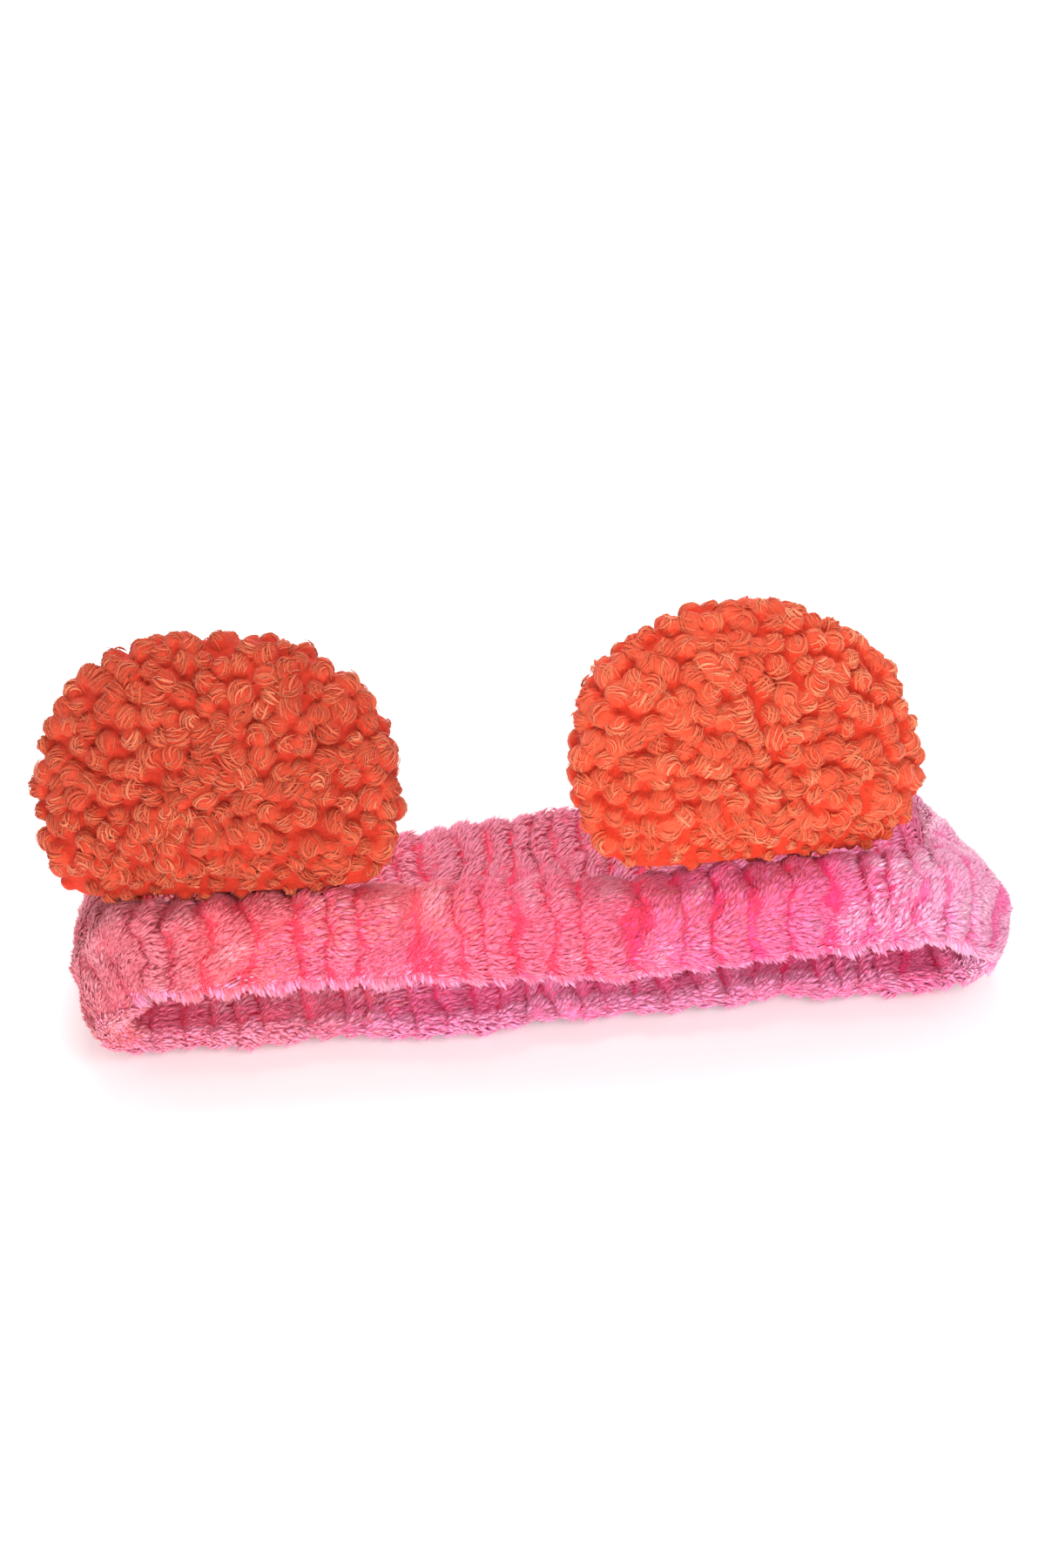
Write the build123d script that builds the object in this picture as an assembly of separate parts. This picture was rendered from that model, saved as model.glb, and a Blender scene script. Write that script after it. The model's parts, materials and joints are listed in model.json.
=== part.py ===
from build123d import *
import math
import os

os.makedirs("parts", exist_ok=True)

# Spa headband: a ruched fleece loop lying on its back half, with the front half
# rolled above it and two stuffed ears sewn along the roll.
# X runs along the loop, Y away from the wearer's chin, Z up. The origin is the middle
# of the face the back half rests on. All sizes are in millimetres.

# Loop
RUN_HALF = 100.0          # half the length of the straight runs
TURN_OUT = 16.0           # how far the cloth's middle stands out past a run at each end
BACK_MID_Z = 4.5          # height of the back half's middle surface
CROWN_MID_Z = 44.0        # height of the front roll's middle surface at its crown
HALF_LAYERS = 4.5         # half the thickness of the whole band, pile included
CORE_HALF = 0.9           # half the space between the two fleece layers
ELASTIC_HALF = 0.5        # half the thickness of the elastic
ELASTIC_SHARE = 0.62      # width of the elastic as a share of the band's
PART_LINE_HALF = 0.3      # half the gap between front and back halves at each end

# Stations round one end: turn angle, middle of the width in Y, width, bend radius
STATIONS = [
    (0.0, 0.0, 66.0, None),
    (45.0, -6.5, 56.0, 110.0),
    (90.0, -17.0, 44.0, 40.0),
    (135.0, -25.0, 41.0, 14.5),
    (180.0, -29.6, 38.4, 10.0),
]

# Seams of the band
SEAM_R = 0.6
SEAM_INSET = 3.0          # seam line in from the cut edge
SIDE_SEAM_R = 0.8
SIDE_SEAM_DROP = 1.4      # side seam below the part line
SIDE_SEAM_SHARE = 0.8     # share of the width that a side seam covers

# Ears
EAR_R = 47.5              # outline radius, pile included
EAR_HALF_THICK = 15.0
PANEL_THICK = 6.4         # sherpa backing and pile
DOME_SHAPE = [(0.0, 1.0), (0.5, 0.9), (0.8, 0.66), (1.0, 0.0)]
EAR_CENTRE_UP = 22.5      # middle of the outline above the base seam
EAR_LEAN = 40.0           # lean back from upright, degrees
EAR_TURN_OUT = 8.0        # each ear faces a little outward, degrees
EAR_X = {"left": -82.0, "right": 53.0}
TAPER_FLAT = 1.2          # half-width of the sewn bottom edge
RIM_GAP_HALF = 0.9        # half the gap between the panels, where the rim seam lies
RIM_SEAM_R = 0.65
STUFFING_GAP = 0.35
BASE_SEAM_R = 0.9
BASE_SEAM_LENGTH = 60.0
EAR_OFF_SEAM = 1.3        # ear's bottom edge above the middle of its base seam
CUT = 80.0                # reach of the cutting prisms


def station_at(turn):
    """Middle in Y, width and bend radius of the band at a listed turn angle."""
    for angle, middle, width, radius in STATIONS:
        if angle == turn:
            return middle, width, radius
    raise ValueError("no station at this angle")


def band_point(turn, along, offset, lift=0.0):
    """Point of the left end, along the width and offset outward from the middle surface."""
    middle, _, radius = station_at(turn)
    angle = math.radians(turn)
    half_rise = (CROWN_MID_Z - BACK_MID_Z) / 2
    mid_x = -RUN_HALF - TURN_OUT * math.sin(angle)
    mid_z = BACK_MID_Z + half_rise - half_rise * math.cos(angle) + lift
    if radius is None:
        side, out = along, offset
    else:
        side = (radius + offset) * math.sin(along / radius)
        out = (radius + offset) * math.cos(along / radius) - radius
    return Vector(
        mid_x - out * math.sin(angle), middle + side, mid_z - out * math.cos(angle)
    )


def curve_across(turn, reach, offset, lift):
    """Line or arc across the width at one offset from the middle surface."""
    start = band_point(turn, -reach, offset, lift)
    middle = band_point(turn, 0.0, offset, lift)
    end = band_point(turn, reach, offset, lift)
    if station_at(turn)[2] is None:
        return Edge.make_line(start, end)
    return Edge.make_three_point_arc(start, middle, end)


def layer_section(turn, low, high, share, lift=0.0):
    """Closed section of one layer between two offsets from the middle surface."""
    reach = station_at(turn)[1] * share / 2
    outer = curve_across(turn, reach, high, lift)
    inner = curve_across(turn, reach, low, lift)
    near = Edge.make_line(outer @ 0, inner @ 0)
    far = Edge.make_line(outer @ 1, inner @ 1)
    return Face(Wire([outer, far, inner, near]))


def half_layer(turns, lift, low, high, share=1.0):
    """One layer of the back or front half: a straight run with both of its end turns."""
    run_turn = turns[0]
    run = extrude(layer_section(run_turn, low, high, share), 2 * RUN_HALF, dir=(1, 0, 0))
    ends = [layer_section(turn, low, high, share) for turn in turns[:-1]]
    ends.append(layer_section(turns[-1], low, high, share, lift))
    left_end = loft(ends)
    return run + left_end + mirror(left_end, about=Plane.YZ)


def back_layer(low, high, share=1.0):
    return half_layer([0.0, 45.0, 90.0], -PART_LINE_HALF, low, high, share)


def front_layer(low, high, share=1.0):
    return half_layer([180.0, 135.0, 90.0], PART_LINE_HALF, low, high, share)


def long_seam(turn, side):
    """Thread bead between the fleece layers, along one edge of a straight run."""
    reach = station_at(turn)[1] / 2 - SEAM_INSET
    start = band_point(turn, side * reach, 0.0)
    return Pos(start) * Rot(0, 90, 0) * Cylinder(
        SEAM_R, 2 * RUN_HALF, align=(Align.CENTER, Align.CENTER, Align.MIN)
    )


def side_seam():
    """Bead on the inner side of the left end, where the two halves are sewn together."""
    reach = station_at(90.0)[1] * SIDE_SEAM_SHARE / 2
    depth = -(HALF_LAYERS + SIDE_SEAM_R + 0.4)
    path = curve_across(90.0, reach, depth, -PART_LINE_HALF - SIDE_SEAM_DROP)
    profile = Plane(origin=path @ 0, z_dir=path % 0) * Circle(SIDE_SEAM_R)
    return sweep(profile, path=path)


def ear_frame(side):
    """Plane at the middle of an ear's base seam: x along the seam, y up the ear, z forward."""
    lean = math.radians(EAR_LEAN)
    turn = math.radians(-EAR_TURN_OUT if side == "left" else EAR_TURN_OUT)
    up = Vector(0, math.sin(lean), math.cos(lean))
    forward = Vector(0, -math.cos(lean), math.sin(lean))
    across = Vector(1, 0, 0) * math.cos(turn) - forward * math.sin(turn)
    facing = forward * math.cos(turn) + Vector(1, 0, 0) * math.sin(turn)
    middle, _, radius = station_at(180.0)
    roll = Vector(EAR_X[side], middle, CROWN_MID_Z - radius)
    origin = roll + up * (radius + HALF_LAYERS + BASE_SEAM_R + 0.3)
    return Plane(origin=origin, x_dir=across, z_dir=facing)


def lens(radius, half_thick):
    """Round cushion with a full rim, its middle where the ear's outline has its centre."""
    dome = [(radius * share, half_thick * rise) for share, rise in DOME_SHAPE]
    upper = Spline(*dome, tangents=[(1, 0), (0, -1)])
    lower = mirror(upper, about=Plane.XZ)
    core = Line((0, half_thick), (0, -half_thick))
    half = make_face([upper, lower, core])
    cushion = revolve(Plane.XZ * half, axis=Axis.Z)
    return Pos(0, EAR_CENTRE_UP + EAR_OFF_SEAM, 0) * cushion


def below_ear(rise):
    """Space under an ear: its bottom edge is thin, where both panels are sewn down."""
    base = EAR_OFF_SEAM + rise
    slope_top = base + CUT - TAPER_FLAT
    corners = [
        (-CUT, -CUT), (CUT, -CUT), (CUT, slope_top),
        (TAPER_FLAT, base), (-TAPER_FLAT, base), (-CUT, slope_top),
    ]
    profile = Plane.ZY * make_face(Polyline(*corners, close=True))
    return extrude(profile, CUT, both=True)


def slab(low, high):
    return Pos(0, 0, (low + high) / 2) * Box(2 * CUT, 4 * CUT, high - low)


def ear_panel(front):
    """Sherpa cap over the front or back of an ear."""
    shell = lens(EAR_R, EAR_HALF_THICK)
    shell -= lens(EAR_R - PANEL_THICK, EAR_HALF_THICK - PANEL_THICK)
    keep = slab(RIM_GAP_HALF, CUT) if front else slab(-CUT, -RIM_GAP_HALF)
    return (shell & keep) - below_ear(0.0)


def ear_stuffing():
    inner = PANEL_THICK + STUFFING_GAP
    return lens(EAR_R - inner, EAR_HALF_THICK - inner) - below_ear(PANEL_THICK)


def ear_rim_seam():
    ring = Torus(EAR_R - PANEL_THICK / 2, RIM_SEAM_R)
    return Pos(0, EAR_CENTRE_UP + EAR_OFF_SEAM, 0) * ring - below_ear(0.0)


def ear_base_seam():
    return Rot(0, 90, 0) * Cylinder(BASE_SEAM_R, BASE_SEAM_LENGTH)


def build_band():
    left_seam = side_seam()
    return {
        "back_outer_fleece": back_layer(CORE_HALF, HALF_LAYERS),
        "back_inner_fleece": back_layer(-HALF_LAYERS, -CORE_HALF),
        "back_elastic": back_layer(-ELASTIC_HALF, ELASTIC_HALF, ELASTIC_SHARE),
        "back_near_seam": long_seam(0.0, -1),
        "back_far_seam": long_seam(0.0, 1),
        "left_side_seam": left_seam,
        "right_side_seam": mirror(left_seam, about=Plane.YZ),
        "front_outer_fleece": front_layer(CORE_HALF, HALF_LAYERS),
        "front_inner_fleece": front_layer(-HALF_LAYERS, -CORE_HALF),
        "front_elastic": front_layer(-ELASTIC_HALF, ELASTIC_HALF, ELASTIC_SHARE),
        "front_near_seam": long_seam(180.0, -1),
        "front_far_seam": long_seam(180.0, 1),
    }


def build_ear(side):
    place = ear_frame(side)
    pieces = {
        "ear_front_panel": ear_panel(True),
        "ear_back_panel": ear_panel(False),
        "ear_stuffing": ear_stuffing(),
        "ear_rim_seam": ear_rim_seam(),
        "ear_base_seam": ear_base_seam(),
    }
    return {f"{side}_{name}": place * piece for name, piece in pieces.items()}


pieces = build_band()
pieces.update(build_ear("left"))
pieces.update(build_ear("right"))
for name, piece in pieces.items():
    export_step(piece, f"parts/{name}.step")
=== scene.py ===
import json
import math

import bpy
import numpy as np
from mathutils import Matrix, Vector
from mathutils.kdtree import KDTree


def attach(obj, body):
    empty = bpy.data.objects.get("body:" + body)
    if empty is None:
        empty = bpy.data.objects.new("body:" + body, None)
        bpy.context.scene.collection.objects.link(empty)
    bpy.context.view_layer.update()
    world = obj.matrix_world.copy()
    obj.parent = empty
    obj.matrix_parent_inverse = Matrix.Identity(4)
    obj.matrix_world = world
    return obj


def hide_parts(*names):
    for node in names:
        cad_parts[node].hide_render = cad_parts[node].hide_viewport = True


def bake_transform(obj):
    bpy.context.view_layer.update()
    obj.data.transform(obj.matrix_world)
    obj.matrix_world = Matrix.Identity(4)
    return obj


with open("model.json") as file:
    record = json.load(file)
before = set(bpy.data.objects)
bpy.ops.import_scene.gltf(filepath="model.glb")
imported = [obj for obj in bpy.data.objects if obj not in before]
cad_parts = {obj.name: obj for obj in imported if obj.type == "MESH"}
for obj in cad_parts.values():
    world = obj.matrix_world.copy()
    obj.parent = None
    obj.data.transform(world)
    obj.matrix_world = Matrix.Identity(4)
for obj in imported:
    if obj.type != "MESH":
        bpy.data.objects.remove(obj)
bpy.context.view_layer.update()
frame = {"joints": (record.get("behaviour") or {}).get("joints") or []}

MM = 0.001
rng = np.random.default_rng(20)

# The band's middle surface, as in the CAD part, in millimetres
RUN_HALF = 100.0
TURN_OUT = 16.0
BACK_Z = 4.5
CROWN_Z = 44.0
HALF_RISE = (CROWN_Z - BACK_Z) / 2
TURN_LENGTH = 56.0
LOOP = 4 * RUN_HALF + 2 * TURN_LENGTH
# Stations every 45 degrees of a turn, from the back half to the front half
STATION_STEP = 45.0
MIDDLES = np.array([-1.2, -8.2, -18.4, -25.2, -29.2])
WIDTHS = np.array([66.0, 60.0, 48.0, 41.0, 38.4])
BENDS = np.array([0.0, 1 / 110, 1 / 40, 1 / 14.5, 1 / 10])

# Cloth and gathers
CLOTH_HALF = 2.4
THINNEST = 0.6
FLOOR_Z = 0.4
BACK_PITCH = 7.2
FRONT_PITCH = 9.5
ACROSS = 30.0  # half the band's width, so that noise has the same grain both ways
EDGE_SHARE = 0.985
SCALLOP = 0.018
LIP_TRIM = 0.12

# How far the band slumps as it lies, in millimetres
SHOULDER_IN, SHOULDER_DOWN = 5.0, 4.5
CORNER_IN = 6.5
LEFT_BULGE = 3.4
PINCH = 4.0
APRON = 2.4
HEEL_BACK = 1.8
LIP_BACK, LIP_UP = 2.8, 1.2

# Ears
EAR_LEAN = math.radians(40.0)
EAR_HALF_THICK = 11.0
EAR_UP = 24.0
BASE_ROUNDING = 3.0
CREASE_REACH = 42
CREASE_HALF = 1.7


def srgb(r, g, b):
    """Linear colour from 0..255 display values."""
    out = []
    for value in (r, g, b):
        c = value / 255
        out.append(c / 12.92 if c <= 0.04045 else ((c + 0.055) / 1.055) ** 2.4)
    return (*out, 1.0)


def eased(table, turn):
    """Smooth curve through a station table (Catmull-Rom)."""
    x = np.clip(np.asarray(turn, float), 0, 180) / STATION_STEP
    i = np.clip(np.floor(x).astype(int), 0, 3)
    f = x - i
    padded = np.concatenate([[table[0]], table, [table[-1]]])
    p0, p1, p2, p3 = padded[i], padded[i + 1], padded[i + 2], padded[i + 3]
    return 0.5 * (
        2 * p1
        + (p2 - p0) * f
        + (2 * p0 - 5 * p1 + 4 * p2 - p3) * f**2
        + (3 * p1 - p0 - 3 * p2 + p3) * f**3
    )


def ramp(value, start, end):
    """Smooth step from 0 at start to 1 at end."""
    x = np.clip((value - start) / (end - start), 0, 1)
    return x * x * (3 - 2 * x)


def waves(x, y, size, seed):
    """Soft noise from about -1 to 1, repeating along x after one loop."""
    r = np.random.default_rng(seed)
    total = np.zeros(np.broadcast(x, y).shape)
    weight = 0.0
    for _ in range(9):
        angle = r.uniform(0, 2 * math.pi)
        freq = r.uniform(0.6, 1.5) / size
        turns = round(LOOP * freq * math.cos(angle))
        amount = r.uniform(0.6, 1.0)
        phase = r.uniform(0, 6.28)
        total += amount * np.sin(
            2 * math.pi * (turns * x / LOOP + freq * math.sin(angle) * y) + phase
        )
        weight += amount * amount
    return total / math.sqrt(weight * 1.6)


def loop_path(t):
    """Turn angle, crown X, crown Z, outward X and outward Z at a distance round the loop."""
    t = np.mod(t, LOOP)
    left = np.clip((t - RUN_HALF) / TURN_LENGTH, 0, 1)
    right = np.clip((t - 3 * RUN_HALF - TURN_LENGTH) / TURN_LENGTH, 0, 1)
    on_right = t > 2 * RUN_HALF + TURN_LENGTH
    turn = np.where(on_right, 180 * (1 - right), 180 * left)
    angle = np.radians(turn)
    side = np.where(on_right, 1.0, -1.0)
    run_x = np.where(
        t <= RUN_HALF,
        -t,
        np.where(t >= LOOP - RUN_HALF, LOOP - t, t - 2 * RUN_HALF - TURN_LENGTH),
    )
    on_run = (turn <= 0) | (turn >= 180)
    x = np.where(on_run, run_x, side * (RUN_HALF + TURN_OUT * np.sin(angle)))
    z = BACK_Z + HALF_RISE * (1 - np.cos(angle))
    return turn, x, z, side * np.sin(angle), -np.cos(angle)


def on_band(t, s, d):
    """Point at distance t round the loop, s across it (-1..1) and d out from its middle."""
    turn, x, z, nx, nz = loop_path(t)
    middle = eased(MIDDLES, turn)
    reach = eased(WIDTHS, turn) / 2
    bend = np.maximum(eased(BENDS, turn), 1e-5)
    sag = 1.1 * waves(t, 0 * t, 90.0, 3)
    along = s * reach
    radius = 1 / bend
    y = middle + (radius + d) * np.sin(along * bend) + sag
    out = (radius + d) * np.cos(along * bend) - radius
    return settle(np.stack([x + out * nx, y, z + out * nz], axis=-1))


def lowness(z):
    """1 down on the back half's cloth, fading to 0 above it."""
    return ramp(z, 16, 8)


def settle(p):
    """Small slumps of the loop as it lies: a low right shoulder, fuller and narrower stretches."""
    x, y, z = p[..., 0], p[..., 1], p[..., 2]
    low = lowness(z)
    near = ramp(y, -8, -30)
    shoulder = ramp(x, 62, 112) * ramp(z, 18, 44)
    pinch = ramp(x, 8, -34) * ramp(y, -12, 32) * low
    corner = ramp(x, 92, 116) * ramp(y, -26, 6)
    heel = ramp(y, -4, 16) * low * ramp(x, 0, 30) * ramp(x, 112, 92)
    lift = ramp(z, 26, 38) * near * (ramp(x, -15, -60) + ramp(x, 55, 95))
    bulge = ramp(x, -90, -110) * ramp(z, 36, 16)
    apron = ramp(x, -100, -78) * (0.4 + 0.6 * ramp(x, 4, -30)) - ramp(x, 86, 106)
    moved_x = x - SHOULDER_IN * shoulder - CORNER_IN * corner - LEFT_BULGE * bulge
    moved_y = y - PINCH * pinch - APRON * apron * low * near + HEEL_BACK * heel + LIP_BACK * lift
    moved_z = z - SHOULDER_DOWN * shoulder + LIP_UP * lift
    return np.stack([moved_x, moved_y, moved_z], axis=-1)


def ridge_table():
    """Running count of ridges round the loop, closing on a whole number."""
    t = np.linspace(0, LOOP, 4001)
    turn = loop_path(t)[0]
    front = np.clip(turn / 180, 0, 1)
    rate = 1 / (BACK_PITCH + (FRONT_PITCH - BACK_PITCH) * front)
    rate *= 1 + 0.28 * waves(t, 0 * t, 40.0, 5)
    total = np.concatenate([[0], np.cumsum((rate[1:] + rate[:-1]) / 2 * np.diff(t))])
    return t, total * round(total[-1]) / total[-1]


RIDGE_T, RIDGE_COUNT = ridge_table()


def ridges(t, s, inner):
    """0 in the folds of the ruching and 1 on the ridges between them."""
    bent = t + 1.7 * waves(t, s * ACROSS, 26.0, 7 + inner)
    bent = bent + 0.7 * waves(t, s * ACROSS, 11.0, 9 + inner)
    count = np.interp(np.mod(bent, LOOP), RIDGE_T, RIDGE_COUNT)
    sharp = np.clip(1.0 - 0.45 * waves(t, s * 12, 19.0, 15 + inner), 0.65, 1.5)
    return np.abs(np.sin(math.pi * count)) ** sharp


def gathers(t, s, inner):
    """Height of the ruching: round ridges across the band with sharp folds between."""
    front = np.clip(loop_path(t)[0] / 180, 0, 1)
    strength = np.clip(1.9 + 1.0 * waves(t, s * ACROSS, 26.0, 11 + inner), 0.5, 2.9)
    strength = strength * (1 - 0.45 * np.abs(loop_path(t)[3]))
    lip_fade = front * 0.5 * np.clip(-s - 0.1, 0, 1)
    edge_fade = 0.35 * np.clip((np.abs(s) - 0.75) / 0.25, 0, 1)
    swell = 0.5 * waves(t, s * 33, 22.0, 13 + inner)
    return strength * (1 - lip_fade - edge_fade) * (ridges(t, s, inner) - 0.65) + swell


def cloth_half(t, s, inner):
    """Half thickness of the cloth: gathered all round, bunched up inside the left turn and
    puffed up in front of the left ear."""
    t_round = np.mod(t, LOOP)
    bunch = 6.0 * np.exp(-(((t_round - 130) / 20) ** 2)) * ramp(s, 0, -0.7)
    puff = 2.6 * np.exp(-(((t_round - 204) / 26) ** 2) - ((s + 0.1) / 0.4) ** 2)
    return np.maximum(CLOTH_HALF + gathers(t, s, inner) + np.where(inner, bunch, puff), THINNEST)


def section_points(count):
    """Even points round the band's section: across share, thickness share and side."""
    half_width, half = 26.0, CLOTH_HALF
    straight = 2 * half_width
    arc = math.pi * half
    p = np.arange(count) / count * 2 * (straight + arc)
    s = np.zeros(count)
    d = np.zeros(count)
    for i, value in enumerate(p):
        if value < straight:
            s[i], d[i] = -half_width + value, half
        elif value < straight + arc:
            a = (value - straight) / half
            s[i], d[i] = half_width + half * math.sin(a), half * math.cos(a)
        elif value < 2 * straight + arc:
            s[i], d[i] = half_width - (value - straight - arc), -half
        else:
            a = (value - 2 * straight - arc) / half
            s[i], d[i] = -half_width - half * math.sin(a), -half * math.cos(a)
    return s / (half_width + half), d / half


def new_mesh(name, verts, faces_by_size, materials):
    """Mesh object from a vertex array in millimetres and (faces, material index) arrays."""
    mesh = bpy.data.meshes.new(name)
    verts = np.asarray(verts, np.float32).reshape(-1, 3) * MM
    mesh.vertices.add(len(verts))
    mesh.vertices.foreach_set("co", verts.ravel())
    loops = np.concatenate([f.ravel() for f, _ in faces_by_size]).astype(np.int32)
    sizes = np.concatenate([np.full(len(f), f.shape[1]) for f, _ in faces_by_size])
    starts = np.concatenate([[0], np.cumsum(sizes)[:-1]]).astype(np.int32)
    mesh.loops.add(len(loops))
    mesh.loops.foreach_set("vertex_index", loops)
    mesh.polygons.add(len(sizes))
    mesh.polygons.foreach_set("loop_start", starts)
    for material in materials:
        mesh.materials.append(material)
    index = np.concatenate([np.broadcast_to(m, len(f)) for f, m in faces_by_size])
    mesh.polygons.foreach_set("material_index", index.astype(np.int32))
    mesh.polygons.foreach_set("use_smooth", np.ones(len(sizes), bool))
    mesh.update(calc_edges=True)
    mesh.validate()
    obj = bpy.data.objects.new(name, mesh)
    bpy.context.scene.collection.objects.link(obj)
    return obj


def tube_arrays(paths, radii, sides, tones, ups=None, flat=1.0):
    """Closed tapered strands. paths is (n, k, 3); the last ring closes to a tip.
    With ups, each strand is flattened to a share of its width in that direction."""
    n, k, _ = paths.shape
    tangent = np.gradient(paths, axis=1)
    tangent /= np.linalg.norm(tangent, axis=2, keepdims=True) + 1e-9
    ref = rng.normal(size=(n, 1, 3)) if ups is None else ups[:, None]
    ref = np.broadcast_to(ref, tangent.shape)
    a = ref - (ref * tangent).sum(2, keepdims=True) * tangent
    a /= np.linalg.norm(a, axis=2, keepdims=True) + 1e-9
    b = np.cross(tangent, a)
    spin = np.arange(sides) / sides * 2 * math.pi
    ring = (
        a[:, :-1, None] * (flat * np.cos(spin))[None, None, :, None]
        + b[:, :-1, None] * np.sin(spin)[None, None, :, None]
    )
    body = paths[:, :-1, None] + ring * radii[:, :-1, None, None]
    verts = np.concatenate([body.reshape(n, -1, 3), paths[:, -1:]], axis=1)
    per = (k - 1) * sides + 1
    rows, cols = np.meshgrid(np.arange(k - 2), np.arange(sides), indexing="ij")
    nxt = (cols + 1) % sides
    low, high = rows * sides, (rows + 1) * sides
    quad = np.stack([low + cols, low + nxt, high + nxt, high + cols], axis=-1).reshape(-1, 4)
    last = (k - 2) * sides
    col = np.arange(sides)
    tip = np.stack([last + col, last + (col + 1) % sides, np.full(sides, per - 1)], axis=-1)
    base = np.arange(n)[:, None, None] * per
    quads = (quad[None] + base).reshape(-1, 4)
    tips = (tip[None] + base).reshape(-1, 3)
    root = (np.arange(sides)[::-1][None] + base[:, 0]).reshape(-1, sides)
    tones = np.asarray(tones)
    faces = [(quads, np.repeat(tones, len(quad))), (tips, np.repeat(tones, sides)), (root, tones)]
    return verts.reshape(-1, 3), faces


def ring_quads(columns, around):
    """Quads of a closed tube: columns round the loop, each with a closed section."""
    i, j = np.meshgrid(np.arange(columns), np.arange(around), indexing="ij")
    i2, j2 = (i + 1) % columns, (j + 1) % around
    return np.stack(
        [i * around + j, i2 * around + j, i2 * around + j2, i * around + j2], axis=-1
    ).reshape(-1, 4)


def joined(parts):
    """Vertices and faces of several strand sets as one."""
    offset = 0
    verts, faces = [], []
    for piece_verts, piece_faces in parts:
        verts.append(piece_verts)
        faces += [(f + offset, m) for f, m in piece_faces]
        offset += len(piece_verts)
    return np.concatenate(verts), faces


# ---------------------------------------------------------------- materials


SOFT_LIGHT = 0.3
SCATTER = (1.0, 0.45, 0.5)
SCATTER_DEPTH = 2.0 * MM


def fibre_shader(name, sheen, sheen_tint=(1, 1, 1, 1)):
    """Soft fibre that light scatters in: the material, its node tree and its shader."""
    mat = bpy.data.materials.new(name)
    mat.use_nodes = True
    bsdf = mat.node_tree.nodes["Principled BSDF"]
    for socket, value in (
        ("Sheen Weight", sheen),
        ("Sheen Roughness", 0.5),
        ("Sheen Tint", sheen_tint),
        ("Specular IOR Level", 0.2),
        ("Subsurface Weight", SOFT_LIGHT),
        ("Subsurface Radius", SCATTER),
        ("Subsurface Scale", SCATTER_DEPTH),
    ):
        bsdf.inputs[socket].default_value = value
    return mat, mat.node_tree, bsdf


def noise_field(tree, coords, size, detail):
    """Noise in object space, with a grain size in millimetres."""
    noise = tree.nodes.new("ShaderNodeTexNoise")
    noise.inputs["Scale"].default_value = 1 / (size * MM)
    noise.inputs["Detail"].default_value = detail
    tree.links.new(coords.outputs["Object"], noise.inputs["Vector"])
    return noise


def add_bump(tree, bsdf, noise, strength, depth):
    bump = tree.nodes.new("ShaderNodeBump")
    bump.inputs["Strength"].default_value = strength
    bump.inputs["Distance"].default_value = depth * MM
    tree.links.new(noise.outputs["Fac"], bump.inputs["Height"])
    tree.links.new(bump.outputs["Normal"], bsdf.inputs["Normal"])


def plain_material(name, colour, rough, sheen, bump_size, bump, sheen_tint=(1, 1, 1, 1)):
    """Strands and threads: plain colour on the shader's socket, with fine bump."""
    mat, tree, bsdf = fibre_shader(name, sheen, sheen_tint)
    bsdf.inputs["Base Color"].default_value = colour
    bsdf.inputs["Roughness"].default_value = rough
    coords = tree.nodes.new("ShaderNodeTexCoord")
    add_bump(tree, bsdf, noise_field(tree, coords, bump_size, 2.0), bump, 0.3)
    return mat


def cloth_material(name, low, mid, high, mottle, grain, sheen=0.1):
    """Pile ground: three tones mixed by soft blotches and fine fibre grain."""
    mat, tree, bsdf = fibre_shader(name, sheen)
    nodes, links = tree.nodes, tree.links
    coords = nodes.new("ShaderNodeTexCoord")
    blotch = noise_field(tree, coords, mottle, 3.0)
    fibre = noise_field(tree, coords, grain, 4.0)
    mixed = nodes.new("ShaderNodeMath")
    mixed.operation = "MULTIPLY_ADD"
    mixed.inputs[1].default_value = 0.45
    links.new(fibre.outputs["Fac"], mixed.inputs[0])
    half = nodes.new("ShaderNodeMath")
    half.operation = "MULTIPLY"
    half.inputs[1].default_value = 0.55
    links.new(blotch.outputs["Fac"], half.inputs[0])
    links.new(half.outputs[0], mixed.inputs[2])
    tones = nodes.new("ShaderNodeValToRGB")
    tones.color_ramp.elements[0].position = 0.36
    tones.color_ramp.elements[0].color = low
    tones.color_ramp.elements[1].position = 0.66
    tones.color_ramp.elements[1].color = high
    tones.color_ramp.elements.new(0.5).color = mid
    links.new(mixed.outputs[0], tones.inputs["Fac"])
    links.new(tones.outputs["Color"], bsdf.inputs["Base Color"])
    rough = nodes.new("ShaderNodeMapRange")
    rough.inputs["To Min"].default_value = 0.8
    rough.inputs["To Max"].default_value = 1.0
    links.new(fibre.outputs["Fac"], rough.inputs["Value"])
    links.new(rough.outputs["Result"], bsdf.inputs["Roughness"])
    add_bump(tree, bsdf, fibre, 0.6, 0.5)
    return mat


# Pile families from the left end to the pale right end, each pale, middle and deep. The first,
# a darker, duller family at the left end, is painted shade; each family's pale and deep tones are
# lit and shaded copies of its middle one, used as painted light and shade and for random tone.
FAMILIES = (
    ("shaded_rose", (240, 136, 150), (230, 112, 126), (222, 84, 104)),
    ("salmon", (250, 136, 148), (248, 108, 122), (250, 72, 94)),
    ("coral", (250, 136, 162), (249, 106, 138), (252, 66, 104)),
    ("hot_pink", (250, 138, 182), (249, 108, 158), (252, 64, 126)),
    ("orchid", (250, 184, 208), (249, 158, 196), (246, 112, 168)),
)
LILAC = (244, 140, 180)
PILE_SHEEN = srgb(255, 205, 220)
PILE_TONES = [
    plain_material(f"pile_{name}_{depth}", srgb(*rgb), 0.9, 0.1, 1.2, 0.3, PILE_SHEEN)
    for name, *tones in FAMILIES
    for depth, rgb in zip(("pale", "middle", "deep"), tones)
]
PILE_TONES.append(plain_material("pile_lilac", srgb(*LILAC), 0.9, 0.1, 1.2, 0.3, PILE_SHEEN))


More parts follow.
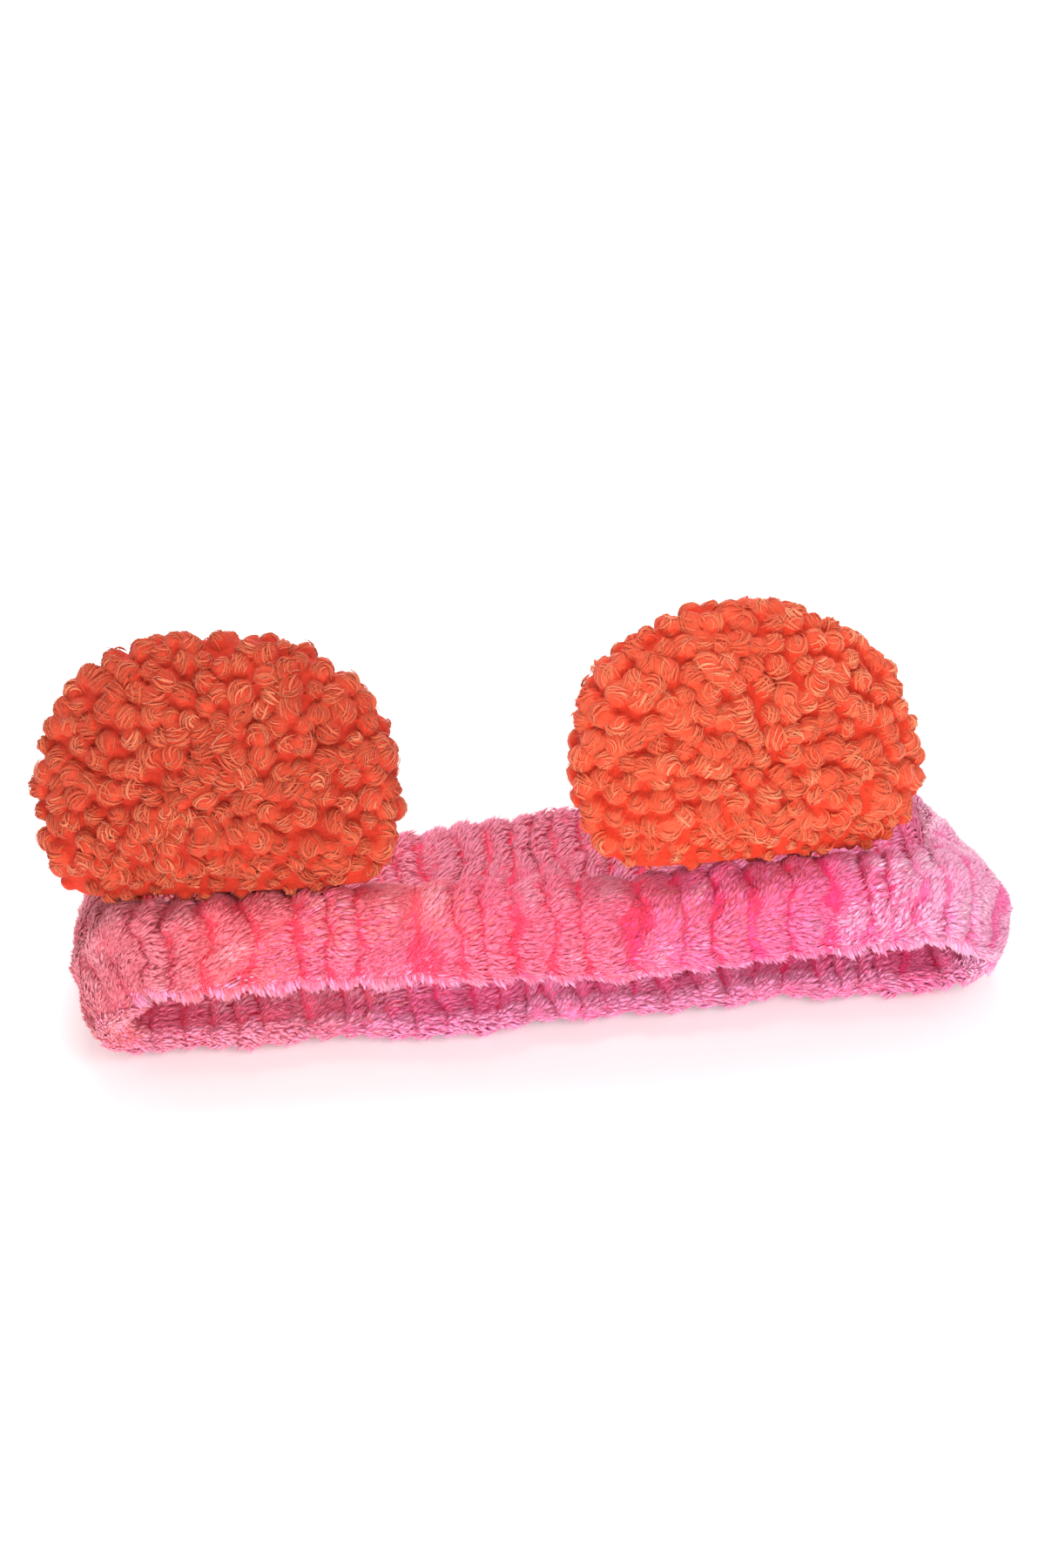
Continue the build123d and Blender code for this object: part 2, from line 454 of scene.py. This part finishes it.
def shifted(rgb, step):
    """The same red, with green and blue moved a step."""
    return srgb(rgb[0], max(rgb[1] + step, 20), max(rgb[2] + step, 20))


# Ground cloth for each family: its middle tone on the ridges and its deep tone in the folds,
# painted shade.
GROUNDS = [
    cloth_material(
        f"ground_{name}_{depth}", shifted(rgb, -16), shifted(rgb, 0), shifted(rgb, 12), 14.0, 1.4
    )
    for name, _, middle, deep in FAMILIES
    for depth, rgb in (("ridge", middle), ("fold", deep))
]


# ---------------------------------------------------------------- band


def band_cloth():
    """The fleece tube itself, in its colour families, with deeper ground tones painted in the
    folds as shade.
    """
    columns, around = 640, 110
    t = np.arange(columns) / columns * LOOP
    s_share, d_share = section_points(around)
    tt, ss = np.meshgrid(t, s_share, indexing="ij")
    dd = np.broadcast_to(d_share, tt.shape)
    half = np.where(dd >= 0, cloth_half(tt, ss, 0), cloth_half(tt, ss, 1))
    points = on_band(tt, edge_line(tt, ss), dd * half)
    points[..., 2] = np.maximum(points[..., 2], FLOOR_Z)
    # Faces in the folds take the deep ground: painted shade.
    fold = np.where(dd >= 0, ridges(tt, ss, 0), ridges(tt, ss, 1)) < 0.5
    family = family_level(tt, ss, points[..., 0], points[..., 2])
    jitter = 0.25 * waves(tt, ss * ACROSS, 3.0, 51)
    family = np.clip(np.round(family + jitter), 0, len(FAMILIES) - 1).astype(int)
    quads = ring_quads(columns, around)
    return new_mesh("band_cloth", points, [(quads, (2 * family + fold).ravel())], GROUNDS)


def edge_line(t, s):
    """The cut edges wander in and out a little, and the lip is cut back towards both ends."""
    scallop = SCALLOP * (ridges(t, 0 * t + np.sign(s), 0) - 0.6)
    turn, x = loop_path(t)[:2]
    ends = ramp(x, -10, -50) + ramp(x, 55, 95)
    trim = LIP_TRIM * ramp(turn, 90, 170) * ends * (s < 0)
    wander = 0.03 * waves(t, 0 * t, 24.0, 21)
    return s * (EDGE_SHARE + wander + scallop * np.abs(s) - trim * np.abs(s))


def family_level(t, s, x, z):
    """Colour family as a running number: a darker family at the left end, painted shade, to orchid
    at the right.
    """
    low = lowness(z)
    drift = 0.3 * waves(t, s * ACROSS, 42.0, 31)
    level = 2.0 + 0.7 * low * ramp(s, 0.5, -0.5) + 0.0135 * x - 0.33 * s + drift
    # The pull towards the first family at the left end is painted shade.
    level = level - 1.1 * ramp(x, -84, -106) + 1.3 * ramp(x, 84, 108)
    return level + low * (np.clip(level, 1.8, 3.0) - level)


def pile_tone(t, s, root, ridge, lilac_share, jitter):
    """Tone index of each tuft, from its family, deeper as painted shade in the folds and lighter
    as painted light where the band lies in shade.
    """
    n = len(t)
    family = family_level(t, s, root[:, 0], root[:, 2]) + (rng.random(n) - 0.5) * 0.5
    family = np.clip(np.round(family), 0, len(FAMILIES) - 1).astype(int)
    x, z = root[:, 0], root[:, 2]
    # Lighter tones on the low back half's far side and near edge, and at the left end: painted
    # light where these lie in shade.
    painted_light = lowness(z) * ((s > 0) | (s < -0.9)) + 0.7 * ramp(x, -90, -110)
    # Deeper tones in the folds and towards the s = -1 edge are painted shade; the waves and the
    # jitter are random tone.
    depth = 1.75 - 1.15 * ridge + 0.45 * waves(t, s * ACROSS, 22.0, 33) - 0.35 * s - 0.5 * painted_light
    depth = np.clip(np.round(depth + (rng.random(n) - 0.5) * jitter), 0, 2).astype(int)
    return np.where(rng.random(n) < lilac_share, 3 * len(FAMILIES), 3 * family + depth)


ROOT_DEPTH = 0.12
LOWEST_ROOT = 1.0
LOWEST_STRAND = 0.15


def tuft_frame(t, s, d_share, turned):
    """Roots and local directions on the gathered cloth."""
    inner = d_share < 0
    half = np.where(inner, cloth_half(t, s, 1), cloth_half(t, s, 0))
    wide = edge_line(t, s)
    root = on_band(t, wide, d_share * (half - ROOT_DEPTH))
    step = 0.5

    def surface(tt, ss):
        h = np.where(inner, cloth_half(tt, ss, 1), cloth_half(tt, ss, 0))
        return on_band(tt, edge_line(tt, ss), d_share * h)

    along_t = surface(t + step, s) - surface(t - step, s)
    along_s = on_band(t, wide + 0.01, d_share * half) - on_band(t, wide - 0.01, d_share * half)
    along_t /= np.linalg.norm(along_t, axis=1, keepdims=True)
    along_s /= np.linalg.norm(along_s, axis=1, keepdims=True)
    out = on_band(t, wide, half * 0 + 1.0) - on_band(t, wide, half * 0)
    normal = np.cross(along_t, along_s)
    normal *= np.sign((normal * out).sum(1) * np.where(inner, -1, 1))[:, None]
    if turned is not None:
        flat_out = out * d_share[:, None]
        normal = flat_out + along_s * (np.sign(s) * np.sin(turned))[:, None]
    normal /= np.linalg.norm(normal, axis=1, keepdims=True)
    return root, normal, along_t, along_s


# Kinds of tuft: number per square mm, length share, half width, flatness, sides, stand,
# spread of heading and jitter of tone
COMBED_LOCK = (1.3, 1.2, 0.46, 0.3, 4, 0.1, 0.1, 0.3)
FINE_FIBRE = (1.9, 0.75, 0.1, 1.0, 3, 0.45, 0.3, 0.5)


def tuft_places(n, t_range, s_range, side, edge):
    """Random places on a stretch of cloth, or round one of its cut edges."""
    t = rng.uniform(t_range[0], t_range[1], n)
    if not edge:
        return t, rng.uniform(s_range[0], s_range[1], n), np.full(n, float(side)), None
    turned = rng.uniform(-0.12 * math.pi, 1.12 * math.pi, n)
    return t, s_range * (0.92 + 0.08 * np.sin(turned)), np.cos(turned), turned


def combed(t, s, d_share, along_t, along_s, spread):
    """Direction that the pile is brushed in, drifting along the band."""
    heading = 0.45 + 0.5 * waves(t, s * ACROSS, 34.0, 41) + 0.25 * waves(t, s * ACROSS, 7.0, 43)
    heading = heading + rng.normal(0, spread, len(t))
    forward = np.where(d_share < 0, -1.0, 1.0)[:, None]
    return along_t * forward * np.cos(heading)[:, None] + along_s * np.sin(heading)[:, None]


def pile_patch(name, area, t_range, s_range, side, length, edge=False):
    """Pile over one stretch of the band: flat combed locks, and finer fibres between them.
    side is 1 for outside and -1 for inside; an edge patch runs round one cut edge."""
    parts = []
    for density, long, wide, flat, sides, stand, spread, jitter in (COMBED_LOCK, FINE_FIBRE):
        n = int(area * density)
        t, s, d_share, turned = tuft_places(n, t_range, s_range, side, edge)
        root, normal, along_t, along_s = tuft_frame(t, s, d_share, turned)
        ridge = np.where(d_share < 0, ridges(t, s, 1), ridges(t, s, 0))
        comb = combed(t, s, d_share, along_t, along_s, spread)
        lip = ramp(root[:, 2], 24, 36) * (s < 0)
        if edge:
            away = along_s * s_range * (0.2 + 0.9 * lip)[:, None]
            comb = comb * (0.9 - 0.6 * lip)[:, None] + away + rng.normal(0, 0.08, (n, 3))
        size = length * long * rng.uniform(0.75, 1.2, n) * (0.6 + 0.4 * ridge)
        size = size * np.where(edge, 0.85 + 0.25 * lip * rng.uniform(0.2, 1.4, n), 1.0)
        stands = stand * rng.uniform(0.6, 1.4, n) + (0.12 if edge else 0.0)
        rise = comb + normal * stands[:, None]
        rise /= np.linalg.norm(rise, axis=1, keepdims=True)
        mid = root + (rise + normal * 0.12) * (size * 0.5)[:, None]
        tip = root + rise * size[:, None] + rng.normal(0, 0.1, (n, 3))
        paths = np.stack([root, mid, tip], axis=1)
        paths[..., 2] = np.maximum(paths[..., 2], LOWEST_STRAND)
        keep = root[:, 2] > LOWEST_ROOT
        thick = wide * rng.uniform(0.75, 1.25, n)
        radii = np.stack([thick * 0.8, thick, thick * 0.1], axis=1)
        fringe = np.clip((np.abs(s) - 0.86) / 0.14, 0, 1)
        share = np.where(edge, 0.1 + 0.4 * lip, (0.1 + 0.4 * lip) * fringe)
        # Tufts round the cut edges and on the inside are counted as raised, so they take lighter
        # tones: painted light where the cloth lies in shade.
        raised = ridge + np.where(edge, 0.5, 0.0) + np.where(d_share < 0, 0.5, 0.0)
        raised = np.minimum(raised, 1.25)
        tones = pile_tone(t, s, root, raised, share, jitter)
        parts.append(
            tube_arrays(paths[keep], radii[keep], sides, tones[keep], normal[keep], flat)
        )
    return new_mesh(name, *joined(parts), PILE_TONES)


def follow_band(piece):
    """Bake the piece's placement into its mesh."""
    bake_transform(piece)


def build_band():
    """The cloth and its pile, in patches small enough to handle."""
    cloth = band_cloth()
    left, front = RUN_HALF, RUN_HALF + TURN_LENGTH
    right = front + 2 * RUN_HALF
    end = right + TURN_LENGTH
    patches = [
        ("pile_back_inside_left", 6200, (0, left), (-0.94, 0.94), -1, 3.0),
        ("pile_back_inside_right", 6200, (end, LOOP), (-0.94, 0.94), -1, 3.0),
        ("pile_left_turn_outside", 3400, (left, front), (-0.95, 0.95), 1, 3.0),
        ("pile_left_turn_inside", 1800, (left, front), (-0.94, 0.94), -1, 2.8),
        ("pile_front_left", 5400, (front, front + RUN_HALF), (-0.97, 0.97), 1, 3.0),
        ("pile_front_right", 5400, (front + RUN_HALF, right), (-0.97, 0.97), 1, 3.0),
        ("pile_front_inside", 3000, (front, right), (-0.94, 0.94), -1, 2.4),
        ("pile_right_turn_outside", 3400, (right, end), (-0.95, 0.95), 1, 3.0),
        ("pile_right_turn_inside", 1800, (right, end), (-0.94, 0.94), -1, 2.8),
    ]
    pieces = [cloth]
    for name, area, t_range, s_range, side, length in patches:
        pieces.append(pile_patch(name, area, t_range, s_range, side, length))
    for name, t_range, sign, area in (
        ("pile_near_edge_left", (0, LOOP / 2), -1.0, 4600),
        ("pile_near_edge_right", (LOOP / 2, LOOP), -1.0, 4600),
        ("pile_far_edge", (0, LOOP), 1.0, 5200),
    ):
        pieces.append(pile_patch(name, area, t_range, sign, 0, 3.2, edge=True))
    for piece in pieces:
        follow_band(piece)
    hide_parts("back_outer_fleece", "back_inner_fleece")
    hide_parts("front_outer_fleece", "front_inner_fleece")
    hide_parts("back_near_seam", "back_far_seam", "front_near_seam", "front_far_seam")


# ---------------------------------------------------------------- ears

# Lock tones from light to deep for each ear. The left ear's set is darker than the right's:
# painted shade, as the light falls from the right.
LOCK_TONES = {
    side: [
        plain_material(
            f"{side}_lock_{name}", srgb(*rgb), 0.85, 0.1, 0.9, 0.3, srgb(255, 200, 175)
        )
        for name, rgb in zip(("peach", "coral", "orange", "rust", "ember"), tones)
    ]
    for side, tones in (
        ("left", ((208, 108, 76), (192, 84, 54), (180, 68, 42), (170, 56, 32), (160, 46, 24))),
        ("right", ((226, 126, 90), (214, 98, 64), (206, 80, 50), (196, 66, 38), (186, 54, 28))),
    )
}
# Ground between the knobs: a crest tone on the balls and a darker tone in the gaps between them,
# painted shade; the left ear's set is darker again, painted shade as well.
SHERPA_GROUNDS = {
    side: [
        cloth_material(f"{side}_{part}", *(srgb(*rgb) for rgb in tones), 7.0, 1.0)
        for part, tones in (("crest", crest), ("hollow_shade", hollow_shade))
    ]
    for side, crest, hollow_shade in (
        (
            "left",
            ((170, 48, 26), (182, 58, 34), (194, 72, 46)),
            ((168, 38, 20), (178, 44, 24), (190, 54, 32)),
        ),
        (
            "right",
            ((190, 60, 34), (200, 72, 44), (212, 88, 60)),
            ((188, 44, 22), (198, 52, 28), (208, 64, 38)),
        ),
    )
}


def ear_axes(side):
    """Origin and the three axes of an ear's own frame, from its hinge in the record."""
    joint = next(j for j in frame["joints"] if j["name"] == f"{side}_ear_fold")
    across = Vector(joint["axis"]).normalized()
    up = Vector((0, math.sin(EAR_LEAN), math.cos(EAR_LEAN)))
    up = (up - up.dot(across) * across).normalized()
    facing = across.cross(up)
    origin = Vector(joint["pos_m"]) / MM
    return np.array(origin), np.array([across, up, facing])


def ear_point(theta, rho, face, shape):
    """Point of the ear's ground cloth. rho runs from 0 at the middle to 1 at the rim.
    shape is half width, half height, squareness, skew, shift, shear and base height."""
    wide, tall, square, skew, shift, shear, base = shape
    c, s = np.cos(theta), np.sin(theta)
    power = (np.abs(c) ** square + np.abs(s) ** square) ** (-1 / square)
    x = wide * rho * power * c
    y = EAR_UP + tall * rho * power * s
    y = base + np.logaddexp(0, (y - base) / BASE_ROUNDING) * BASE_ROUNDING
    x = x * (1 + skew * (y - 30) / 60) + shift + shear * y / 60
    thick = EAR_HALF_THICK * np.clip(1 - rho**3.0, 0, 1) ** 0.5
    thick = thick * (0.3 + 0.7 * ramp(y - base, 0, 15))
    return np.stack([x, y, face * thick], axis=-1)


def ear_grid(shape):
    """Vertices, quads, pole triangles and rim mask of an ear's closed ground cloth."""
    columns, rows = 300, 46
    theta = np.arange(columns) / columns * 2 * math.pi
    rho = np.sin(np.linspace(0, 1, rows + 1)[1:] * math.pi / 2)
    front = [(r, 1.0) for r in rho]
    back = [(r, -1.0) for r in rho[:-1][::-1]]
    rings = np.array(front + back)
    rr, tt = np.meshgrid(rings[:, 0], theta, indexing="ij")
    ff = np.broadcast_to(rings[:, 1][:, None], rr.shape)
    points = ear_point(tt, rr, ff, shape)
    poles = ear_point(np.zeros(2), np.zeros(2), np.array([1.0, -1.0]), shape)
    verts = np.concatenate([points.reshape(-1, 3), poles])
    n = len(rings)
    i, j = np.meshgrid(np.arange(n - 1), np.arange(columns), indexing="ij")
    j2 = (j + 1) % columns
    quads = np.stack(
        [i * columns + j, (i + 1) * columns + j, (i + 1) * columns + j2, i * columns + j2], axis=-1
    ).reshape(-1, 4)
    col = np.arange(columns)
    nxt = (col + 1) % columns
    first = np.stack([np.full(columns, n * columns), col, nxt], axis=-1)
    last = (n - 1) * columns
    final = np.stack([np.full(columns, n * columns + 1), last + nxt, last + col], axis=-1)
    rim = (rings[:, 0] > 1 - 1e-6).repeat(columns)
    return verts, quads, np.concatenate([first, final]), rim


def vertex_normals(verts, quads, tris):
    """Normals averaged over the faces round each vertex."""
    normal = np.zeros_like(verts)
    for faces in (quads, tris):
        a, b, c = verts[faces[:, 0]], verts[faces[:, 1]], verts[faces[:, 2]]
        n = np.cross(b - a, c - a)
        for k in range(faces.shape[1]):
            np.add.at(normal, faces[:, k], n)
    return normal / (np.linalg.norm(normal, axis=1, keepdims=True) + 1e-9)


def scatter(verts, normals, quads, spacing, rim_gap, r):
    """Seeded dart throwing on the surface: points at least one spacing apart, with normals."""
    a, b, c, d = (verts[quads[:, k]] for k in range(4))
    area = np.linalg.norm(np.cross(c - a, d - b), axis=1)
    picks = r.choice(len(quads), size=14000, p=area / area.sum())
    u, v = r.random((2, len(picks), 1))
    corners = quads[picks].T
    shares = ((1 - u) * (1 - v), u * (1 - v), u * v, (1 - u) * v)
    points = sum(share * verts[k] for share, k in zip(shares, corners))
    facing = sum(share * normals[k] for share, k in zip(shares, corners))
    facing /= np.linalg.norm(facing, axis=1, keepdims=True)
    chosen = []
    cells = {}
    for index in np.flatnonzero(rim_gap[corners[0]] > 1.5):
        p = points[index]
        key = tuple(np.floor(p / spacing).astype(int))
        near = (
            cells.get((key[0] + i, key[1] + j, key[2] + k), ())
            for i in (-1, 0, 1)
            for j in (-1, 0, 1)
            for k in (-1, 0, 1)
        )
        if any(np.sum((points[k] - p) ** 2) < spacing**2 for group in near for k in group):
            continue
        cells.setdefault(key, []).append(index)
        chosen.append(index)
    return points[chosen], facing[chosen]


def lump_height(verts, centres, sizes):
    """How far each vertex is pushed out by the ball of the tallest knob over it."""
    height = np.zeros(len(verts))
    for start in range(0, len(verts), 4000):
        block = verts[start : start + 4000]
        dist2 = ((block[:, None] - centres[None]) ** 2).sum(2)
        dome = np.sqrt(np.maximum(sizes[None] ** 2 - dist2, 0))
        height[start : start + 4000] = dome.max(1)
    return height


KNOB_SPACING = 4.2
# Kinds of lock on each knob: how many, rings, radius, sides, share with a loose end
KNOB_LOCKS = ((10, 7, 0.34, 4, 0.1), (14, 7, 0.12, 3, 0.35))


def curl_paths(centres, normals, sizes, per_lump, rings, thick, r, loose):
    """Fine locks wound round each curl, like wool round a small slanted ball."""
    n = len(centres)
    side = np.cross(normals, r.normal(size=(n, 3)))
    side /= np.linalg.norm(side, axis=1, keepdims=True)
    slant = r.uniform(0.5, 1.45, n)[:, None]
    axis = normals * np.cos(slant) + side * np.sin(slant)
    hand = np.where(r.random(n) < 0.5, -1.0, 1.0)
    idx = np.repeat(np.arange(n), per_lump)
    m = len(idx)
    axis = axis[idx] + r.normal(0, 0.16, (m, 3))
    axis /= np.linalg.norm(axis, axis=1, keepdims=True)
    outward = normals[idx] - (normals[idx] * axis).sum(1, keepdims=True) * axis
    outward /= np.linalg.norm(outward, axis=1, keepdims=True) + 1e-9
    across = np.cross(axis, outward)
    height = r.uniform(-0.85, 0.92, m)
    tau = np.linspace(0, 1, rings)[None]
    start = r.uniform(-2.3, 0.3, m)
    sweep = r.uniform(1.6, 3.4, m)
    angle = (start[:, None] + sweep[:, None] * tau) * hand[idx][:, None]
    ball = sizes[idx] * r.uniform(0.94, 1.04, m)
    ring = ball * np.sqrt(1 - height**2)
    ring = ring[:, None] * (1 - 0.35 * tau**2 * r.uniform(0, 1, m)[:, None])
    loose_end = np.where(r.random(m) < loose, r.uniform(0.6, 2.2, m), 0.0)
    ring = ring + loose_end[:, None] * tau**3
    along = (ball * height)[:, None] + r.normal(0, 0.5, m)[:, None] * tau
    middle = centres[idx] + normals[idx] * (0.12 * sizes[idx])[:, None]
    paths = (
        middle[:, None]
        + axis[:, None] * along[..., None]
        + outward[:, None] * (ring * np.cos(angle))[..., None]
        + across[:, None] * (ring * np.sin(angle))[..., None]
    )
    profile = np.clip(np.sin(np.clip(tau * 0.95 + 0.1, 0, 1) * math.pi), 0.2, 1)
    radii = thick * r.uniform(0.7, 1.25, m)[:, None] * profile
    return paths, radii, idx


def knob_sizes(centres, shape, crease, r):
    """Radius of each knob, smaller at the ear's base and along its crease."""
    sizes = KNOB_SPACING * r.uniform(0.6, 0.85, len(centres))
    sizes = sizes * (0.55 + 0.45 * ramp(centres[:, 1], 2, 9))
    if crease:
        rise = (centres[:, 1] - EAR_UP) / CREASE_REACH
        line = crease * shape[0] * np.sqrt(np.clip(1 - rise**2, 0, 1))
        on_line = (np.abs(centres[:, 0] - line) < CREASE_HALF) & (centres[:, 2] > 0)
        sizes = np.where(on_line, 0.55 * KNOB_SPACING, sizes)
    return sizes


def knob_locks(centres, normals, sizes, shade, tone_count, place, r):
    """Locks round a set of knobs, painted lighter on each ball's outside and deeper underneath as
    light and shade, with the thin locks a step lighter as painted highlights. place turns ear axes
    into world ones.
    """
    knob_tone = r.uniform(-0.8, 0.8, len(centres))
    parts = []
    for per_lump, rings, thick, sides, loose in KNOB_LOCKS:
        paths, radii, idx = curl_paths(
            centres, normals, sizes, per_lump, rings, thick, r, loose
        )
        top = ((paths.mean(1) - centres[idx]) * normals[idx]).sum(1) / sizes[idx]
        # Each lock is lighter on the outside of its ball and deeper underneath: painted light and
        # shade; knob_tone and the noise are random tone.
        pick = shade - 1.3 * top + knob_tone[idx] + r.normal(0, 0.2, len(idx))
        # Thin locks a step lighter: painted highlights.
        pick = pick - 0.7 * (sides == 3)
        tones = np.clip(np.round(pick), 0, tone_count - 1).astype(int)
        parts.append(tube_arrays(place(paths), radii, sides, tones))
    return joined(parts)


def build_ear(side, shape, shade, crease, seed):
    """One ear. shade is its middle tone, and crease is where its front panel's rim seam
    shows, as a share of its half width."""
    r = np.random.default_rng(seed)
    origin, axes = ear_axes(side)
    verts, quads, tris, rim = ear_grid(shape)
    normals = vertex_normals(verts, quads, tris)
    rim_line = verts[:-2][rim]
    tree = KDTree(len(rim_line))
    for i, p in enumerate(rim_line):
        tree.insert(p, i)
    tree.balance()
    rim_gap = np.array([tree.find(p)[2] for p in verts])
    centres, centre_normals = scatter(verts, normals, quads, KNOB_SPACING, rim_gap, r)
    sizes = knob_sizes(centres, shape, crease, r)
    height = lump_height(verts, centres, sizes)
    raised = verts + normals * (0.93 * height + 0.2)[:, None]
    world = raised @ axes + origin
    # Faces low between the knobs take the darker ground: painted shade.
    hollow_shade = height < 1.5
    quad_tone, tri_tone = hollow_shade[quads[:, 0]], hollow_shade[tris[:, 1]]
    grounds = SHERPA_GROUNDS[side]
    cushion = new_mesh(
        f"{side}_ear_cushion", world, [(quads, quad_tone), (tris, tri_tone)], grounds
    )
    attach(cushion, f"{side}_ear")
    names = ["ear_front_panel", "ear_back_panel", "ear_stuffing", "ear_rim_seam"]
    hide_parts(*[f"{side}_{name}" for name in names])
    middle = np.median(centres[:, 1])
    tones = LOCK_TONES[side]

    def place(paths):
        return paths @ axes + origin

    for face, label in ((1, "front"), (-1, "back")):
        for above, level in ((True, "upper"), (False, "lower")):
            mine = (np.sign(centres[:, 2] + 1e-6) == face) & ((centres[:, 1] > middle) == above)
            wound = knob_locks(
                centres[mine], centre_normals[mine], sizes[mine], shade, len(tones), place, r
            )
            locks = new_mesh(f"{side}_ear_{label}_{level}_locks", *wound, tones)
            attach(locks, f"{side}_ear")


# ---------------------------------------------------------------- small pieces


def base_stitches(side):
    """Whip stitches that hold an ear's bottom edge down along its base seam."""
    origin, axes = ear_axes(side)
    count, rings = 22, 13
    along = np.linspace(-29, 29, count)
    tau = np.linspace(0, 1, rings)[None]
    angle = 2 * math.pi * tau
    x = along[:, None] + 2.2 * (tau - 0.5)
    y = 0.7 * np.cos(angle)
    z = 0.7 * np.sin(angle)
    paths = np.stack(np.broadcast_arrays(x, y, z), axis=-1) @ axes + origin
    radii = np.full((count, rings), 0.28)
    verts, faces = tube_arrays(paths, radii, 6, np.zeros(count, int))
    piece = new_mesh(f"{side}_ear_base_stitches", verts, faces, [coral_thread])
    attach(piece, "front_band")
    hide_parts(f"{side}_ear_base_seam")


coral_thread = plain_material("coral_thread", srgb(214, 84, 44), 0.6, 0.2, 0.4, 0.5)
pink_thread = plain_material("pink_thread", srgb(228, 100, 130), 0.6, 0.2, 0.4, 0.5)
elastic_white = cloth_material(
    "woven_elastic", srgb(214, 212, 205), srgb(232, 230, 224), srgb(244, 243, 238), 3.0, 0.7, 0.1
)
ELASTIC_SHARE = 0.58
ELASTIC_HALF = 0.45


def elastic_strip():
    """The loop of woven elastic between the two fleeces, with its lengthwise ribs."""
    columns, across = 480, 33
    t = np.arange(columns) / columns * LOOP
    share = np.linspace(-1, 1, across)
    s = ELASTIC_SHARE * np.concatenate([share, share[::-1]])
    rib = ELASTIC_HALF * (0.8 + 0.2 * np.cos(share * 8 * 2 * math.pi))
    rib[[0, -1]] = ELASTIC_HALF * 0.4
    d = np.concatenate([rib, -rib[::-1]])
    tt, ss = np.meshgrid(t, s, indexing="ij")
    points = on_band(tt, ss, np.broadcast_to(d, tt.shape))
    quads = ring_quads(columns, len(s))
    strip = new_mesh("woven_elastic", points, [(quads, 0)], [elastic_white])
    follow_band(strip)
    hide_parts("back_elastic", "front_elastic")


def side_stitches(side, t):
    """Overlock stitches of a side seam, across the band inside its fleeces."""
    count = 24
    tau = np.linspace(0, 1, 13)[None]
    angle = 2 * math.pi * tau
    s = np.linspace(-0.8, 0.8, count)[:, None] + 0.02 * (tau - 0.5)
    place = t + 1.2 * np.cos(angle) + 0 * s
    paths = on_band(place, s + 0 * angle, 0.95 * np.sin(angle) + 0 * s)
    radii = np.full(paths.shape[:2], 0.2)
    verts, faces = tube_arrays(paths, radii, 6, np.zeros(count, int))
    piece = new_mesh(f"{side}_side_stitches", verts, faces, [pink_thread])
    follow_band(piece)
    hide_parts(f"{side}_side_seam")


# ---------------------------------------------------------------- stage


def add_floor():
    """Plain pale floor that the band lies on."""
    size = 4.0
    verts = np.array([(-size, -size, 0), (size, -size, 0), (size, size, 0), (-size, size, 0)]) / MM
    mat = bpy.data.materials.new("floor")
    mat.use_nodes = True
    bsdf = mat.node_tree.nodes["Principled BSDF"]
    bsdf.inputs["Base Color"].default_value = (0.92, 0.92, 0.92, 1)
    bsdf.inputs["Roughness"].default_value = 0.9
    bsdf.inputs["Specular IOR Level"].default_value = 0.1
    floor = new_mesh("floor", verts, [(np.array([[0, 1, 2, 3]]), 0)], [mat])


def area_light(name, place, target, size, power):
    light = bpy.data.lights.new(name, "AREA")
    light.shape = "DISK"
    light.size = size
    light.energy = power
    obj = bpy.data.objects.new(name, light)
    obj.location = place
    obj.rotation_euler = (Vector(target) - Vector(place)).to_track_quat("-Z", "Y").to_euler()
    bpy.context.scene.collection.objects.link(obj)


# Name, place, size and power
LIGHTS = (
    ("key", (0.42, -0.4, 0.8), 0.5, 2.0),
    ("fill", (-0.15, -1.0, 0.12), 0.8, 15.0),
    ("top", (0.0, 0.5, 0.9), 0.6, 6.0),
)


def add_lights():
    world = bpy.data.worlds.new("studio")
    bpy.context.scene.world = world
    world.use_nodes = True
    world.node_tree.nodes["Background"].inputs["Color"].default_value = (1, 1, 1, 1)
    world.node_tree.nodes["Background"].inputs["Strength"].default_value = 0.9
    for name, place, size, power in LIGHTS:
        area_light(name, place, (0, 0, 0.03), size, power)
    scene = bpy.context.scene
    scene.view_settings.view_transform = "Standard"
    scene.view_settings.look = "None"


CAM_AZIMUTH = -5.5
CAM_ELEVATION = 50.0
CAM_DISTANCE = 0.85
CAM_TARGET = (-0.0045, 0.0054, 0.043)
CAM_VIEW_WIDTH = 0.267
CAM_SHIFT_Y = 0.018


def add_camera():
    """Camera at an azimuth, elevation and distance from its target."""
    data = bpy.data.cameras.new("camera")
    data.sensor_fit = "HORIZONTAL"
    data.sensor_width = 36.0
    data.lens = 36.0 * CAM_DISTANCE / CAM_VIEW_WIDTH
    data.shift_y = CAM_SHIFT_Y
    data.clip_start = 0.01
    az, el = math.radians(CAM_AZIMUTH), math.radians(CAM_ELEVATION)
    back = Vector((math.sin(az) * math.cos(el), -math.cos(az) * math.cos(el), math.sin(el)))
    cam = bpy.data.objects.new("camera", data)
    cam.location = Vector(CAM_TARGET) + back * CAM_DISTANCE
    cam.rotation_euler = (-back).to_track_quat("-Z", "Y").to_euler()
    bpy.context.scene.collection.objects.link(cam)
    bpy.context.scene.camera = cam


add_camera()
add_lights()
add_floor()
build_band()
build_ear("left", (43.2, 39.5, 2.35, 0.0, 1.3, -0.9, 1.0), 2.2, 0.86, 101)
build_ear("right", (42.8, 38.2, 2.12, -0.02, -0.8, -4.0, -0.4), 2.2, 0, 202)
for ear in ("left", "right"):
    base_stitches(ear)
elastic_strip()
side_stitches("left", RUN_HALF)
side_stitches("right", LOOP - RUN_HALF)
